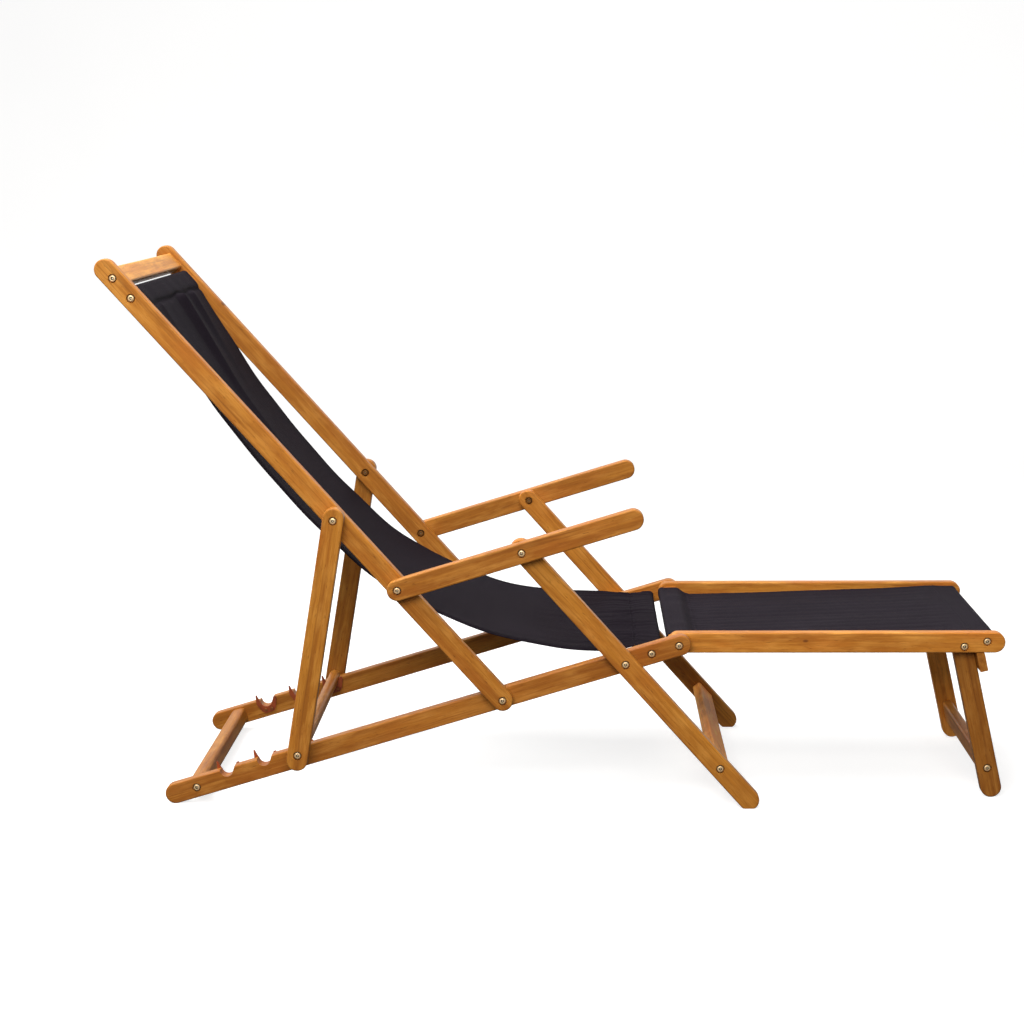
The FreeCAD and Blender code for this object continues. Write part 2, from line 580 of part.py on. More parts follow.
pivots = {"back": A, "leg": BP, "arm": D, "arm_leg": C, "prop": P, "dowel": N1, "notch2": N2, "notch3": N3,
          "hinge": H, "foot_leg": FL, "front_slat": S2, "top_slat": S1, "leg_foot": LEG_FOOT, "rear": E,
          "foot_leg_end": FLEG_END, "foot_end": FOOT_END, "back_end": BACK_END, "arm_end": ARM_END}
print(json.dumps({"pivots": {k: [round(p[0] + SHIFT_X, 4), round(p[1] + SHIFT_Z, 4)] for k, p in pivots.items()},
                  "shift": [SHIFT_X, SHIFT_Z], "count": len(NODES),
                  "x_range": [X_MIN + SHIFT_X, X_MAX + SHIFT_X],
                  "solids": {k: len(v.Solids) for k, v in NODES.items()},
                  "volume_cm3": {k: round(v.Volume / 1000.0, 3) for k, v in NODES.items()}}))
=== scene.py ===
"""Looks of a folding wooden sun lounger with a canvas sling and a sling footrest.

Lengths are in metres in the part's own frame: +X towards the feet, +Y to the left, +Z up.
"""
import math

import bpy
import numpy as np
from mathutils import Matrix, Vector


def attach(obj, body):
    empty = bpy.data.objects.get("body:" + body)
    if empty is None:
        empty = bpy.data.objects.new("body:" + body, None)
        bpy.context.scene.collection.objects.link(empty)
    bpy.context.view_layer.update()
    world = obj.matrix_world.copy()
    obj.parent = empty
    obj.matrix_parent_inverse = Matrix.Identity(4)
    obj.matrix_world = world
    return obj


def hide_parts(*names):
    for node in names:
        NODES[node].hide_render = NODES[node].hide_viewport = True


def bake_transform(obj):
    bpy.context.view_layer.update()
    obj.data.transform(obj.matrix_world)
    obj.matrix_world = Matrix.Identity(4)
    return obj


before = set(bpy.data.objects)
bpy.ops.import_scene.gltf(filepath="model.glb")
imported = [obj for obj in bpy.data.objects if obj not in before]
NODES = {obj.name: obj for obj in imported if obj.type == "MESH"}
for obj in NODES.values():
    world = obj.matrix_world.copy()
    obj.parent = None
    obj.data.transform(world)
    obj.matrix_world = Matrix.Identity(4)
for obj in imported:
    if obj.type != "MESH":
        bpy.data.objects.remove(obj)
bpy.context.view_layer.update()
scene = bpy.context.scene

SHIFT = 6.470                     # mm, from the side-plane figures below to the part's frame


# ---------------------------------------------------------------------------
# node helpers
# ---------------------------------------------------------------------------
class Tree:
    def __init__(self, name):
        self.mat = bpy.data.materials.new(name)
        self.mat.use_nodes = True
        self.t = self.mat.node_tree
        self.t.nodes.clear()
        self.out = self.t.nodes.new("ShaderNodeOutputMaterial")
        self.bsdf = self.t.nodes.new("ShaderNodeBsdfPrincipled")
        self.t.links.new(self.bsdf.outputs["BSDF"], self.out.inputs["Surface"])

    def new(self, kind, **props):
        n = self.t.nodes.new(kind)
        for k, v in props.items():
            setattr(n, k, v)
        return n

    def link(self, a, b):
        self.t.links.new(a, b)

    def put(self, sock, value):
        """Links a socket, or sets a constant on the input itself."""
        if isinstance(value, bpy.types.NodeSocket):
            self.link(value, sock)
        else:
            sock.default_value = value

    def math(self, op, a, b=None, c=None, clamp=False):
        n = self.new("ShaderNodeMath", operation=op, use_clamp=clamp)
        self.put(n.inputs[0], a)
        if b is not None:
            self.put(n.inputs[1], b)
        if c is not None:
            self.put(n.inputs[2], c)
        return n.outputs[0]

    def mix(self, fac, a, b, blend="MIX"):
        n = self.new("ShaderNodeMix", data_type="RGBA", blend_type=blend)
        self.put(n.inputs["Factor"], fac)
        for sock, v in ((n.inputs[6], a), (n.inputs[7], b)):
            if isinstance(v, (tuple, list)):
                sock.default_value = (v[0], v[1], v[2], 1.0)
            else:
                self.link(v, sock)
        return n.outputs[2]

    def ramp(self, fac, stops, interp="LINEAR"):
        n = self.new("ShaderNodeValToRGB")
        n.color_ramp.interpolation = interp
        e = n.color_ramp.elements
        while len(e) < len(stops):
            e.new(0.5)
        for el, (p, c) in zip(e, stops):
            el.position = p
            el.color = (c, c, c, 1.0) if isinstance(c, (int, float)) else (c[0], c[1], c[2], 1.0)
        self.put(n.inputs["Fac"], fac)
        return n.outputs["Color"]

    def noise(self, vec, scale=1.0, detail=2.0, rough=0.5, distort=0.0):
        n = self.new("ShaderNodeTexNoise")
        self.link(vec, n.inputs["Vector"])
        n.inputs["Scale"].default_value = scale
        n.inputs["Detail"].default_value = detail
        n.inputs["Roughness"].default_value = rough
        n.inputs["Distortion"].default_value = distort
        return n.outputs["Fac"]

    def scaled(self, vec, s, offset=(0, 0, 0)):
        n = self.new("ShaderNodeMapping", vector_type="POINT")
        self.link(vec, n.inputs["Vector"])
        n.inputs["Scale"].default_value = s
        n.inputs["Location"].default_value = offset
        return n.outputs["Vector"]

    def bump(self, height, strength, distance, normal=None):
        n = self.new("ShaderNodeBump")
        n.inputs["Strength"].default_value = strength
        n.inputs["Distance"].default_value = distance
        self.link(height, n.inputs["Height"])
        if normal is not None:
            self.link(normal, n.inputs["Normal"])
        return n.outputs["Normal"]


# ---------------------------------------------------------------------------
# wood
# ---------------------------------------------------------------------------
def wood(name, angle=None, seed=0, tone=1.0, warm=0.0, painted_sheen=0.0):
    """Oiled honey-brown hardwood. angle: direction of the piece in the XZ plane in degrees, None along Y."""
    rng = np.random.RandomState(1000 + seed)
    T = Tree(name)
    tc = T.new("ShaderNodeTexCoord")
    m = T.new("ShaderNodeMapping", vector_type="TEXTURE")
    T.link(tc.outputs["Object"], m.inputs["Vector"])
    if angle is None:
        m.inputs["Rotation"].default_value = (0.0, 0.0, math.pi / 2)
    else:
        m.inputs["Rotation"].default_value = (0.0, -math.radians(angle), 0.0)
    off = rng.rand(3) * 6.0
    p = T.scaled(m.outputs["Vector"], (1, 1, 1), tuple(off))

    # the grain wanders a little along the length
    sway = T.noise(T.scaled(p, (2.6, 9.0, 9.0)), detail=2.0)
    sep = T.new("ShaderNodeSeparateXYZ")
    T.link(p, sep.inputs[0])
    dy = T.math("MULTIPLY_ADD", sway, 0.024, sep.outputs["Y"])
    dz = T.math("MULTIPLY_ADD", sway, -0.020, sep.outputs["Z"])
    com = T.new("ShaderNodeCombineXYZ")
    T.link(sep.outputs["X"], com.inputs[0])
    T.link(dy, com.inputs[1])
    T.link(dz, com.inputs[2])
    q = com.outputs[0]

    bands = T.noise(T.scaled(q, (2.4, 74.0, 74.0)), detail=3.0, rough=0.55)
    mottle = T.noise(T.scaled(q, (14.0, 58.0, 58.0)), detail=2.5, rough=0.6)
    blush = T.noise(T.scaled(p, (6.5, 24.0, 24.0), (4.4, 2.2, 7.1)), detail=2.0)
    lines = T.noise(T.scaled(q, (4.5, 230.0, 230.0), (1.3, 8.1, 2.9)), detail=3.0, rough=0.65)
    fine = T.noise(T.scaled(q, (16.0, 470.0, 470.0)), detail=3.5, rough=0.62)
    flecks = T.noise(T.scaled(q, (70.0, 560.0, 560.0), (6.1, 0.7, 3.3)), detail=1.5)
    pores = T.noise(T.scaled(q, (60.0, 1500.0, 1500.0)), detail=2.0, rough=0.5)

    k = tone
    honey = (0.520 * k, (0.196 + 0.012 * warm) * k, 0.026 * k)
    pale = (0.680 * k, (0.300 + 0.015 * warm) * k, 0.058 * k)
    deep = (0.345 * k, (0.112 + 0.008 * warm) * k, 0.015 * k)
    russet = (0.455 * k, (0.134 + 0.006 * warm) * k, 0.018 * k)
    umber = (0.150 * k, 0.046 * k, 0.009 * k)

    col = T.mix(T.ramp(bands, [(0.32, 0.0), (0.66, 1.0)], "EASE"), deep, honey)
    col = T.mix(T.ramp(mottle, [(0.46, 0.0), (0.74, 0.70)]), col, pale)
    col = T.mix(T.ramp(blush, [(0.50, 0.0), (0.72, 0.60)]), col, russet)
    col = T.mix(T.ramp(lines, [(0.30, 0.75), (0.45, 0.0)]), col, deep)
    col = T.mix(T.ramp(fine, [(0.30, 0.60), (0.47, 0.0)]), col, deep)
    col = T.mix(T.ramp(fine, [(0.56, 0.0), (0.74, 0.45)]), col, pale)
    # a few long dark streaks, short dark flecks and open pores
    streak = T.noise(T.scaled(q, (1.8, 120.0, 120.0), (3.1, 1.7, 5.3)), detail=2.0, rough=0.6)
    col = T.mix(T.ramp(streak, [(0.62, 0.0), (0.80, 0.60)]), col, umber)
    col = T.mix(T.ramp(flecks, [(0.22, 0.80), (0.33, 0.0)]), col, umber)
    col = T.mix(T.ramp(pores, [(0.26, 0.50), (0.40, 0.0)]), col, umber)
    # pin knots with a darker halo
    v = T.new("ShaderNodeTexVoronoi", feature="F1")
    T.link(T.scaled(p, (11.0, 0.7, 21.0), tuple(rng.rand(3) * 9)), v.inputs["Vector"])
    v.inputs["Scale"].default_value = 1.0
    sepc = T.new("ShaderNodeSeparateColor")
    T.link(v.outputs["Color"], sepc.inputs[0])
    some = T.math("GREATER_THAN", sepc.outputs[0], 0.74)
    halo = T.math("MULTIPLY", T.ramp(v.outputs["Distance"], [(0.06, 1.0), (0.34, 0.0)], "EASE"), some)
    knot = T.math("MULTIPLY", T.ramp(v.outputs["Distance"], [(0.035, 1.0), (0.075, 0.0)], "EASE"), some)
    col = T.mix(T.math("MULTIPLY", halo, 0.42), col, russet if warm > 0.9 else deep)
    col = T.mix(T.math("MULTIPLY", knot, 0.85), col, umber)
    # painted sheen: a pale grey-beige mixed into the colour stands in for white light reflected off the face
    if painted_sheen > 0:
        col = T.mix(painted_sheen, col, T.mix(fine, (0.30, 0.20, 0.12), (0.62, 0.45, 0.31)))
    T.link(col, T.bsdf.inputs["Base Color"])

    rough = T.math("MULTIPLY_ADD", fine, 0.16, 0.33)
    rough = T.math("MULTIPLY_ADD", knot, 0.10, rough)
    T.link(rough, T.bsdf.inputs["Roughness"])
    T.bsdf.inputs["IOR"].default_value = 1.47
    T.bsdf.inputs["Specular IOR Level"].default_value = 0.20 if painted_sheen < 0.1 else 0.03
    h = T.math("MULTIPLY_ADD", pores, 0.55, T.math("MULTIPLY", fine, 0.8))
    T.link(T.bump(h, 0.35, 0.0006), T.bsdf.inputs["Normal"])
    return T.mat


# direction, seed, tone, hue towards yellow, share of painted pale sheen
WOOD = {
    "seat_rail_left": (16.83, 1, 0.95, 0.0), "seat_rail_right": (16.83, 2, 0.88, -0.6),
    "armrest_left": (16.83, 3, 0.89, 0.3), "armrest_right": (16.83, 4, 0.90, 0.0),
    "back_rail_left": (131.44, 5, 0.86, 0.0), "back_rail_right": (131.44, 6, 0.97, 0.3),
    "front_leg_left": (131.44, 7, 1.06, 0.2), "front_leg_right": (131.44, 8, 1.04, 0.6),
    "prop_leg_left": (80.1, 9, 0.80, 0.3), "prop_leg_right": (80.1, 10, 0.96, 0.6),
    "footrest_rail_left": (0.0, 11, 1.08, 0.6), "footrest_rail_right": (0.0, 12, 1.18, 0.2),
    "footrest_leg_left": (-77.2, 13, 1.75, -0.3), "footrest_leg_right": (-77.2, 14, 0.66, -0.6),
    "rear_cross_rail": (None, 15, 0.90, 0.2), "seat_front_slat": (None, 16, 1.0, 0.0),
    # top_cross_rail and front_leg_cross_rail carry painted pale sheen; the front leg cross rail's high tone is also
    # painted light on its upward face
    "top_cross_rail": (None, 17, 1.26, 1.8, 0.05), "sling_top_slat": (None, 18, 1.0, 0.0),
    "prop_dowel": (None, 19, 1.0, 0.5), "front_leg_cross_rail": (None, 20, 2.55, 0.4, 0.18),
    "footrest_hinge_slat": (None, 21, 1.0, 0.0), "footrest_end_slat": (None, 22, 1.0, 0.0),
    "footrest_leg_cross_rail": (None, 23, 1.45, -0.2), "leg_stop_slat": (None, 24, 0.80, -0.2),
}


# ---------------------------------------------------------------------------
# metals and plastics
# ---------------------------------------------------------------------------
def metal(name, base, dull, rough, seed):
    T = Tree(name)
    tc = T.new("ShaderNodeTexCoord")
    p = T.scaled(tc.outputs["Object"], (1, 1, 1), (seed, seed * 0.37, 0))
    a = T.noise(p, 900.0, 3.0, 0.6)
    b = T.noise(p, 160.0, 2.0, 0.5)
    col = T.mix(T.ramp(b, [(0.35, 0.0), (0.70, 0.85)]), base, dull)
    T.link(col, T.bsdf.inputs["Base Color"])
    T.bsdf.inputs["Metallic"].default_value = 1.0
    T.link(T.math("MULTIPLY_ADD", a, 0.18, rough), T.bsdf.inputs["Roughness"])
    T.link(T.bump(a, 0.15, 0.00015), T.bsdf.inputs["Normal"])
    return T.mat


def plastic(name, base, dark, rough, seed):
    T = Tree(name)
    tc = T.new("ShaderNodeTexCoord")
    p = T.scaled(tc.outputs["Object"], (1, 1, 1), (seed, 0, seed * 0.5))
    a = T.noise(p, 1400.0, 2.0, 0.5)
    b = T.noise(p, 60.0, 3.0, 0.55)
    T.link(T.mix(T.ramp(b, [(0.35, 0.0), (0.68, 1.0)]), base, dark), T.bsdf.inputs["Base Color"])
    T.link(T.math("MULTIPLY_ADD", b, 0.18, rough), T.bsdf.inputs["Roughness"])
    T.bsdf.inputs["IOR"].default_value = 1.49
    T.link(T.bump(a, 0.12, 0.0002), T.bsdf.inputs["Normal"])
    return T.mat


def bolt_head(name, at, shade=1.0):
    """Yellow-zinc bolt heads seen end on: a bright face, a socket ring and a rim darkened with painted shade, and a
    painted glint at the centre. at: their axes in XZ, mm.
    With shade below 0.9, the darker bronze-brown cap nuts on the inner ends, with the same painted shade and glint."""
    nut = shade < 0.9
    T = Tree(name)
    tc = T.new("ShaderNodeTexCoord")
    sep = T.new("ShaderNodeSeparateXYZ")
    T.link(tc.outputs["Object"], sep.inputs[0])
    r2 = None
    for x, z in at:
        dx = T.math("SUBTRACT", sep.outputs["X"], x * 1e-3)
        dz = T.math("SUBTRACT", sep.outputs["Z"], z * 1e-3)
        d = T.math("MULTIPLY_ADD", dx, dx, T.math("MULTIPLY", dz, dz))
        r2 = d if r2 is None else T.math("MINIMUM", r2, d)
    r = T.math("MULTIPLY", T.math("SQRT", r2), 100.0)
    # face darkens the socket ring and the rim of the head: painted shade of the socket recess and of the counterbore
    # gap
    if nut:
        face = T.ramp(r, [(0.00, 1.0), (0.12, 0.85), (0.19, 0.30), (0.27, 0.55), (0.34, 1.0), (0.43, 0.85), (0.52, 0.34), (0.66, 0.18)])
    else:
        face = T.ramp(r, [(0.00, 1.0), (0.15, 1.0), (0.20, 0.16), (0.27, 0.08), (0.31, 0.90), (0.40, 1.0), (0.55, 0.95), (0.62, 0.45), (0.66, 0.22)])
    a = T.noise(tc.outputs["Object"], 900.0, 3.0, 0.6)
    b = T.noise(tc.outputs["Object"], 160.0, 2.0, 0.5)
    light, deep, painted_glint = ((0.27, 0.115, 0.030), (0.21, 0.082, 0.021), (0.40, 0.27, 0.15)) if nut else \
        ((1.00, 0.74, 0.40), (1.00, 0.64, 0.36), (1.0, 0.86, 0.62))
    col = T.mix(T.ramp(b, [(0.35, 0.0), (0.70, 0.85)]), light, deep)
    col = T.mix(1.0, col, face, "MULTIPLY")
    # painted glint: a brighter colour at the centre stands in for a highlight there
    col = T.mix(T.ramp(r, [(0.12, 0.75), (0.18, 0.0)]), col, painted_glint)
    T.link(col, T.bsdf.inputs["Base Color"])
    T.bsdf.inputs["Metallic"].default_value = 0.12 if nut else 0.45
    T.bsdf.inputs["Specular IOR Level"].default_value = 0.04 if nut else 0.20
    T.link(T.math("MULTIPLY_ADD", a, 0.16, 0.30), T.bsdf.inputs["Roughness"])
    dome = T.ramp(r, [(0.00, 0.72), (0.15, 0.70), (0.22, 0.45), (0.29, 0.95), (0.36, 1.0), (0.46, 0.84), (0.56, 0.46), (0.66, 0.0)])
    round_off = T.bump(dome, 0.5 if nut else 1.0, 0.0022)
    T.link(T.bump(a, 0.15, 0.00015, round_off), T.bsdf.inputs["Normal"])
    return T.mat


HEADS = {
    "seat_frame_bolts": [(-693.48, 31.41), (171.23, 292.97)], "back_frame_bolts": [(-805.14, 998.58), (-773.30, 962.52)],
    "backrest_pivot_bolts": [(-107.69, 208.60)], "front_leg_pivot_bolts": [(122.03, 278.09)], "prop_pivot_bolts": [(-414.19, 555.76)],
    "prop_dowel_bolts": [(-491.81, 109.02)], "front_leg_bolts": [(299.40, 77.18)], "armrest_pivot_bolts": [(-298.76, 425.03), (-69.04, 494.51)],
    "footrest_end_bolts": [(797.27, 310.43)], "footrest_hinge_bolts": [(222.34, 308.43)], "footrest_leg_pivot_bolts": [(755.27, 300.43)],
    "footrest_leg_bolts": [(810.57, 57.04)],
    "backrest_pivot_nuts": [(-107.69, 208.60)], "front_leg_pivot_nuts": [(122.03, 278.09)], "prop_pivot_nuts": [(-414.19, 555.76)],
    "armrest_pivot_nuts": [(-298.76, 425.03), (-69.04, 494.51)], "footrest_leg_pivot_nuts": [(755.27, 300.43)],
}

BRASS = metal("yellow_zinc", (0.86, 0.70, 0.40), (0.80, 0.56, 0.36), 0.22, 1.0)
BRONZE = metal("dull_bronze", (0.42, 0.17, 0.06), (0.30, 0.11, 0.04), 0.40, 5.0)
STEEL = metal("zinc_steel", (0.66, 0.65, 0.62), (0.52, 0.50, 0.47), 0.28, 2.0)
NYLON = plastic("black_nylon", (0.030, 0.029, 0.028), (0.050, 0.048, 0.046), 0.42, 3.0)
CLIP = plastic("clip_red_brown", (0.36, 0.066, 0.010), (0.23, 0.038, 0.006), 0.46, 4.0)

for name, obj in NODES.items():
    if name in WOOD:
        mat = wood("wood_" + name, *WOOD[name])
    elif name in HEADS:
        mat = bolt_head("head_" + name, HEADS[name], 0.26 if "nuts" in name else 1.0)
    elif "clip_screws" in name:
        mat = BRONZE
    elif "washers" in name:
        mat = NYLON
    elif "clips" in name:
        mat = CLIP
    elif "barrel" in name or "inserts" in name:
        mat = STEEL
    elif "sling" in name and "slat" not in name:
        continue
    else:
        mat = BRASS
    for s in obj.material_slots:
        s.material = mat


# ---------------------------------------------------------------------------
# canvas
# ---------------------------------------------------------------------------
def canvas(name, base, lift, seed):
    """Matte plain-weave canvas. The weave follows the cloth's own cut, in metres."""
    T = Tree(name)
    uv = T.new("ShaderNodeUVMap", uv_map="cut")
    p = T.scaled(uv.outputs["UV"], (1, 1, 1), (seed * 0.13, seed * 0.29, seed * 0.7))
    wob = T.noise(p, 90.0, 2.0)
    sep = T.new("ShaderNodeSeparateXYZ")
    T.link(p, sep.inputs[0])
    pitch = 2 * math.pi / 0.00085
    u = T.math("MULTIPLY_ADD", wob, 0.7, T.math("MULTIPLY", sep.outputs["X"], pitch))
    w = T.math("MULTIPLY_ADD", wob, -0.7, T.math("MULTIPLY", sep.outputs["Y"], pitch))
    su, sw = T.math("SINE", u), T.math("SINE", w)
    over = T.math("MULTIPLY_ADD", T.math("MULTIPLY", su, sw), 0.5, 0.5)
    slub_a = T.noise(T.scaled(p, (1100.0, 14.0, 1.0)), 1.0, 2.0)
    slub_b = T.noise(T.scaled(p, (14.0, 1100.0, 1.0)), 1.0, 2.0)
    slub = T.math("MULTIPLY", T.math("ADD", slub_a, slub_b), 0.5)
    broad = T.noise(p, 7.0, 3.0, 0.55)
    col = T.mix(T.ramp(over, [(0.1, 0.0), (0.95, 0.42)]), base, lift)
    col = T.mix(T.ramp(slub, [(0.42, 0.30), (0.52, 0.0)]), col, (base[0] * 0.55, base[1] * 0.55, base[2] * 0.58))
    col = T.mix(T.ramp(broad, [(0.40, 0.0), (0.75, 0.22)]), col, lift)
    T.link(col, T.bsdf.inputs["Base Color"])
    T.link(T.math("MULTIPLY_ADD", slub, 0.2, 0.56), T.bsdf.inputs["Roughness"])
    T.bsdf.inputs["Specular IOR Level"].default_value = 0.015
    T.bsdf.inputs["Sheen Weight"].default_value = 0.010
    T.bsdf.inputs["Sheen Roughness"].default_value = 0.5
    T.bsdf.inputs["Sheen Tint"].default_value = (0.72, 0.70, 0.78, 1.0)
    h = T.math("MULTIPLY_ADD", slub, 0.8, over)
    T.link(T.bump(h, 0.45, 0.00025), T.bsdf.inputs["Normal"])
    return T.mat


# The long sling and the footrest are one canvas: the long sling's darker copy is painted shade and the footrest's
# lighter copy is painted light
CANVAS = canvas("anthracite_canvas", (0.0088, 0.0064, 0.0094), (0.0180, 0.0140, 0.0202), 1.0)
CANVAS_FOOT_LIT = canvas("anthracite_canvas_foot_lit", (0.0138, 0.0106, 0.0149), (0.0262, 0.0214, 0.0292), 3.0)
THREAD = canvas("anthracite_thread", (0.0150, 0.0125, 0.0165), (0.028, 0.024, 0.031), 2.0)


# ---------------------------------------------------------------------------
# cloth geometry
# ---------------------------------------------------------------------------
def smooth01(x):
    x = np.clip(x, 0.0, 1.0)
    return x * x * (3 - 2 * x)


def ripple(y, lam, n, seed):
    """Irregular waves of about the wavelength lam across the cloth."""
    r = np.random.RandomState(seed)
    out = np.zeros_like(y)
    for _ in range(n):
        w = lam * (0.62 + 0.95 * r.rand())
        out = out + (0.5 + 0.5 * r.rand()) * np.sin(2 * math.pi * y / w + 2 * math.pi * r.rand())
    return out / math.sqrt(n)


def catmull(pts, step):
    pts = np.asarray(pts, float)
    ext = np.vstack([2 * pts[0] - pts[1], pts, 2 * pts[-1] - pts[-2]])
    out = []
    for i in range(1, len(ext) - 2):
        p0, p1, p2, p3 = ext[i - 1:i + 3]
        n = max(2, int(math.ceil(np.linalg.norm(p2 - p1) / (step * 0.5))))
        for t in np.arange(n) / n:
            out.append(0.5 * ((2 * p1) + (-p0 + p2) * t + (2 * p0 - 5 * p1 + 4 * p2 - p3) * t * t
                              + (-p0 + 3 * p1 - 3 * p2 + p3) * t ** 3))
    out.append(pts[-1])
    return np.array(out)


def resample(pts, steps_of):
    """Points along a polyline with a spacing that depends on the distance run."""
    seg = np.linalg.norm(np.diff(pts, axis=0), axis=1)
    cum = np.concatenate([[0], np.cumsum(seg)])
    s, at = 0.0, [0.0]
    while s < cum[-1]:
        s += steps_of(s, cum[-1])
        at.append(min(s, cum[-1]))
    at = np.array(at)
    if at[-1] - at[-2] < 0.4 * steps_of(at[-2], cum[-1]):
        at = np.delete(at, -2)
    return np.stack([np.interp(at, cum, pts[:, k]) for k in range(2)], axis=1), at


def relax(pts, passes, lo, hi):
    """Evens out a stretch of a polyline and keeps the rest."""
    pts = pts.copy()
    w = np.zeros(len(pts))
    w[lo:hi] = 1.0
    for _ in range(passes):
        mid = 0.5 * (pts[:-2] + pts[2:])
        pts[1:-1] += 0.5 * w[1:-1, None] * (mid - pts[1:-1])
    return pts


def columns(half, hem=14.0, step=4.0):
    """Positions across the cloth in mm, closer together at the hems."""
    edge = np.array([0.0, 0.8, 2.2, 4.5, 7.5, 10.5, 12.2, 13.2, 14.2, 15.4, 17.5, 20.0])
    n = int(round((2 * half - 40.0) / step))
    inner = np.linspace(-half + 20.0, half - 20.0, n + 1)[1:-1]
    return np.concatenate([-half + edge, inner, (half - edge)[::-1]])


def shell(name, path, s, half_of, disp, hem=13.2, t0=1.1, t1=2.3, side=None):
    """A closed thin cloth along path (XZ, mm). disp(S, Y, HALF) lifts the surface along its normal, in mm."""
    tang = np.gradient(path, axis=0)
    tang /= np.linalg.norm(tang, axis=1)[:, None]
    nor = np.stack([tang[:, 1], -tang[:, 0]], axis=1)
    ref = float(np.max(half_of(s)))
    col = columns(ref) / ref
    half = half_of(s)
    S = np.repeat(s[:, None], len(col), 1)
    HALF = np.repeat(half[:, None], len(col), 1)
    Y = col[None, :] * HALF
    D = disp(S, Y, HALF)
    if side is not None:
        Y = Y + side(S, Y, HALF)
    pos = np.stack([path[:, 0][:, None] + nor[:, 0][:, None] * D, Y, path[:, 1][:, None] + nor[:, 1][:, None] * D], axis=2)
    du = np.gradient(pos, axis=0)
    dv = np.gradient(pos, axis=1)
    n3 = np.cross(du, dv)
    n3 /= np.linalg.norm(n3, axis=2)[:, :, None] + 1e-12
    want = np.stack([nor[:, 0], np.zeros(len(s)), nor[:, 1]], axis=1)
    flip = np.sign(np.sum(n3 * want[:, None, :], axis=2))
    n3 *= np.where(flip == 0, 1, flip)[:, :, None]
    inset = HALF - np.abs(col[None, :] * HALF)
    thick = t0 + (t1 - t0) * (1 - smooth01((inset - (hem - 1.2)) / 2.0))
    thick = thick * (0.55 + 0.45 * smooth01(inset / 2.0))           # the folded edge is round
    thick = thick - 0.5 * np.exp(-((inset - (hem - 2.6)) / 0.9) ** 2)  # pulled in along the stitching
    out = (pos + n3 * thick[:, :, None] / 2) * 1e-3
    inn = (pos - n3 * thick[:, :, None] / 2) * 1e-3
    R, C = D.shape
    verts = np.concatenate([out.reshape(-1, 3), inn.reshape(-1, 3)])
    idx = np.arange(R * C).reshape(R, C)
    a, b, c, d = idx[:-1, :-1].ravel(), idx[1:, :-1].ravel(), idx[1:, 1:].ravel(), idx[:-1, 1:].ravel()
    quads_out = np.stack([a, b, c, d], axis=1)
    K = R * C
    quads_in = np.stack([d, c, b, a], axis=1) + K
    rim = np.concatenate([idx[:, 0], idx[-1, 1:], idx[-2::-1, -1], idx[0, -2:0:-1]])
    nxt = np.roll(rim, -1)
    quads_rim = np.stack([nxt, rim, rim + K, nxt + K], axis=1)
    # right-handed outward faces
    v0 = verts[quads_out[:, 0]]
    fn = np.cross(verts[quads_out[:, 1]] - v0, verts[quads_out[:, 2]] - v0)
    if np.sum(fn * n3.reshape(-1, 3)[quads_out[:, 0]]) < 0:
        quads_out, quads_in, quads_rim = quads_out[:, ::-1], quads_in[:, ::-1], quads_rim[:, ::-1]
    faces = np.concatenate([quads_out, quads_in, quads_rim])
    uv = np.stack([col[None, :] * HALF * 1e-3, S * 1e-3], axis=2).reshape(-1, 2)
    uv = np.concatenate([uv, uv])
    obj = mesh(name, verts, faces, uv)
    grid = {"pos": pos, "nor": n3, "thick": thick, "s": s, "col": col, "half": half}
    return obj, grid


def mesh(name, verts, faces, uv=None):
    me = bpy.data.meshes.new(name)
    me.from_pydata([tuple(v) for v in verts], [], [tuple(int(i) for i in f) for f in faces])
    if uv is not None:
        layer = me.uv_layers.new(name="cut")
        loops = np.empty(len(me.loops), np.int32)
        me.loops.foreach_get("vertex_index", loops)
        layer.data.foreach_set("uv", np.asarray(uv, np.float32)[loops].ravel())
    me.validate()
    me.shade_smooth()
    obj = bpy.data.objects.new(name, me)
    scene.collection.objects.link(obj)
    return obj


def on_grid(grid, s, y):
    """Point, outward normal and the two surface directions on a cloth grid, at s (mm) and y (share of the half width)."""
    S, Cc = grid["s"], grid["col"]
    i = int(np.clip(np.searchsorted(S, s) - 1, 0, len(S) - 2))
    j = int(np.clip(np.searchsorted(Cc, y) - 1, 0, len(Cc) - 2))
    fs = np.clip((s - S[i]) / (S[i + 1] - S[i]), 0, 1)
    fy = np.clip((y - Cc[j]) / (Cc[j + 1] - Cc[j]), 0, 1)

    def lerp(a):
        return ((1 - fs) * (1 - fy) * a[i, j] + fs * (1 - fy) * a[i + 1, j] + (1 - fs) * fy * a[i, j + 1] + fs * fy * a[i + 1, j + 1])
    n = lerp(grid["nor"])
    n = n / np.linalg.norm(n)
    return lerp(grid["pos"]) + n * lerp(grid["thick"]) / 2, n


